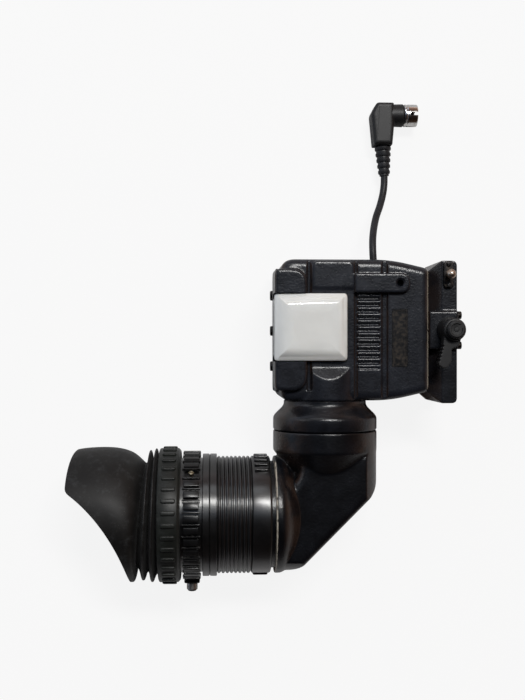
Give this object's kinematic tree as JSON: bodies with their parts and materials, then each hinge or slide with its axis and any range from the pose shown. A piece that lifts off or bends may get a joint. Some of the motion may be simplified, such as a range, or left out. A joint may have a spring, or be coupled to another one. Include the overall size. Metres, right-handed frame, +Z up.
{
  "type": "electronic viewfinder",
  "caption": "Studio camera viewfinder: picture-tube housing with rail foot and corded plug, swivelling mirror elbow, focusing eyepiece and rubber eyecup.",
  "frame": {"origin": "on the surface that the object's back lies on, under the middle of its outline without the cord", "axes": "+X from the eyecup towards the rail foot, +Y along the picture tube towards the cord outlet, +Z up from the flat back towards the tally lens"},
  "size_m": [0.219, 0.2856, 0.0772],
  "materials": {
    "leather_grain_paint": "charcoal paint with a fine leather grain, satin",
    "wrinkle_gloss_paint": "black wrinkle paint, glossy, worn at the edges",
    "black_plastic": "moulded black plastic, satin",
    "dark_rubber": "soft dark grey rubber, dusty matte",
    "ring_rubber": "firm dark grey-green rubber",
    "milky_lens": "milky white translucent plastic, gloss",
    "optical_glass": "coated optical glass",
    "silvered_mirror": "silvered front face",
    "plain_steel": "plain turned steel",
    "blackened_steel": "blackened metal, satin",
    "worn_nickel": "worn nickel over brass",
    "brass": "plain brass",
    "chrome_shell": "bright plated metal",
    "circuit_board": "green circuit board",
    "copper_winding": "enamelled copper wire",
    "tube_glass": "dark tube glass"
  },
  "bodies": {
    "base": {"housing_front": "leather_grain_paint", "housing_rear": "leather_grain_paint", "housing_screw_1": "plain_steel", "housing_screw_2": "plain_steel", "housing_screw_3": "plain_steel", "housing_screw_4": "plain_steel", "tally_lens": "milky_lens", "tally_lamp_board": "circuit_board", "control_panel": "black_plastic", "control_board": "circuit_board", "swivel_neck": "leather_grain_paint", "friction_washer": "black_plastic", "keeper_ring": "blackened_steel", "picture_tube": "tube_glass", "tube_clamp": "dark_rubber", "deflection_yoke": "copper_winding", "tube_socket": "circuit_board", "main_board": "circuit_board", "high_voltage_transformer": "black_plastic", "rail_foot": "leather_grain_paint", "stop_pin_plate": "plain_steel", "stop_screw_lower": "plain_steel", "stop_screw_upper": "plain_steel", "side_screw_lower": "blackened_steel", "side_screw_upper": "blackened_steel", "stop_spring": "plain_steel", "cord_gland": "dark_rubber", "cord": "dark_rubber", "plug_boot": "dark_rubber", "plug_body": "black_plastic", "plug_shell": "chrome_shell", "plug_insert": "black_plastic"},
    "elbow": {"mirror_elbow": "leather_grain_paint", "mirror": "silvered_mirror", "mirror_holder": "blackened_steel", "eyepiece_barrel": "wrinkle_gloss_paint"},
    "bayonet": {"bayonet_ring": "wrinkle_gloss_paint"},
    "focus": {"focus_ring": "black_plastic", "index_screw": "brass"},
    "thumb": {"thumbscrew": "plain_steel"},
    "cell": {"lens_cell": "blackened_steel", "front_lens": "optical_glass", "rear_lens": "optical_glass", "front_retainer": "blackened_steel", "rear_retainer": "blackened_steel"},
    "cup": {"eyecup_ring": "ring_rubber", "eyecup": "dark_rubber"},
    "brightness": {"brightness_knob": "black_plastic"},
    "contrast": {"contrast_knob": "black_plastic"},
    "peaking": {"peaking_knob": "black_plastic"},
    "lever": {"clamp_lever": "black_plastic", "lever_cap": "black_plastic", "lever_stud": "plain_steel"},
    "gib": {"clamp_gib": "blackened_steel"},
    "pin": {"stop_pin": "worn_nickel"}
  },
  "joints": [
    {"name": "elbow_swivel", "type": "hinge", "parent": "base", "child": "elbow", "pos_m": [0.03325, -0.002, 0.0386], "axis": [0, 1, 0], "range_deg": [-90, 90]},
    {"name": "bayonet_turn", "type": "hinge", "parent": "elbow", "child": "bayonet", "pos_m": [-0.0038, -0.05015, 0.0386], "axis": [1, 0, 0], "range_deg": [0, 40]},
    {"name": "focus_turn", "type": "hinge", "parent": "elbow", "child": "focus", "pos_m": [-0.04235, -0.05015, 0.0386], "axis": [1, 0, 0], "range_deg": [-55, 55]},
    {"name": "thumbscrew_turn", "type": "hinge", "parent": "focus", "child": "thumb", "pos_m": [-0.04235, -0.091, 0.0386], "axis": [0, 1, 0], "range_deg": [-180, 180]},
    {"name": "lens_slide", "type": "slide", "parent": "elbow", "child": "cell", "axis": [1, 0, 0], "range_m": [-0.0025, 0.0025]},
    {"name": "eyecup_turn", "type": "hinge", "parent": "elbow", "child": "cup", "pos_m": [-0.05465, -0.05015, 0.0386], "axis": [1, 0, 0], "range_deg": [-180, 180]},
    {"name": "brightness_turn", "type": "hinge", "parent": "base", "child": "brightness", "pos_m": [0.00395, 0.03375, 0.0246], "axis": [1, 0, 0], "range_deg": [-140, 140]},
    {"name": "contrast_turn", "type": "hinge", "parent": "base", "child": "contrast", "pos_m": [0.00395, 0.05435, 0.0246], "axis": [1, 0, 0], "range_deg": [-140, 140]},
    {"name": "peaking_turn", "type": "hinge", "parent": "base", "child": "peaking", "pos_m": [0.00395, 0.07495, 0.0246], "axis": [1, 0, 0], "range_deg": [-140, 140]},
    {"name": "lever_turn", "type": "hinge", "parent": "base", "child": "lever", "pos_m": [0.10155, 0.05435, 0.0619], "axis": [0, 0, 1], "range_deg": [0, 80]},
    {"name": "gib_slide", "type": "slide", "parent": "base", "child": "gib", "axis": [0, 0, -1], "range_m": [0, 0.0008]},
    {"name": "stop_pin_slide", "type": "slide", "parent": "base", "child": "pin", "axis": [0, 0, 1], "range_m": [0, 0.003], "stiffness_N_per_m": 400, "springref_m": -0.002, "deforming": ["stop_spring"]}
  ],
  "couplings": [
    {"joint": "focus_turn", "follows": "lens_slide", "rad_per_m": 383.96},
    {"joint": "lever_turn", "follows": "gib_slide", "rad_per_m": 1745.3}
  ]
}
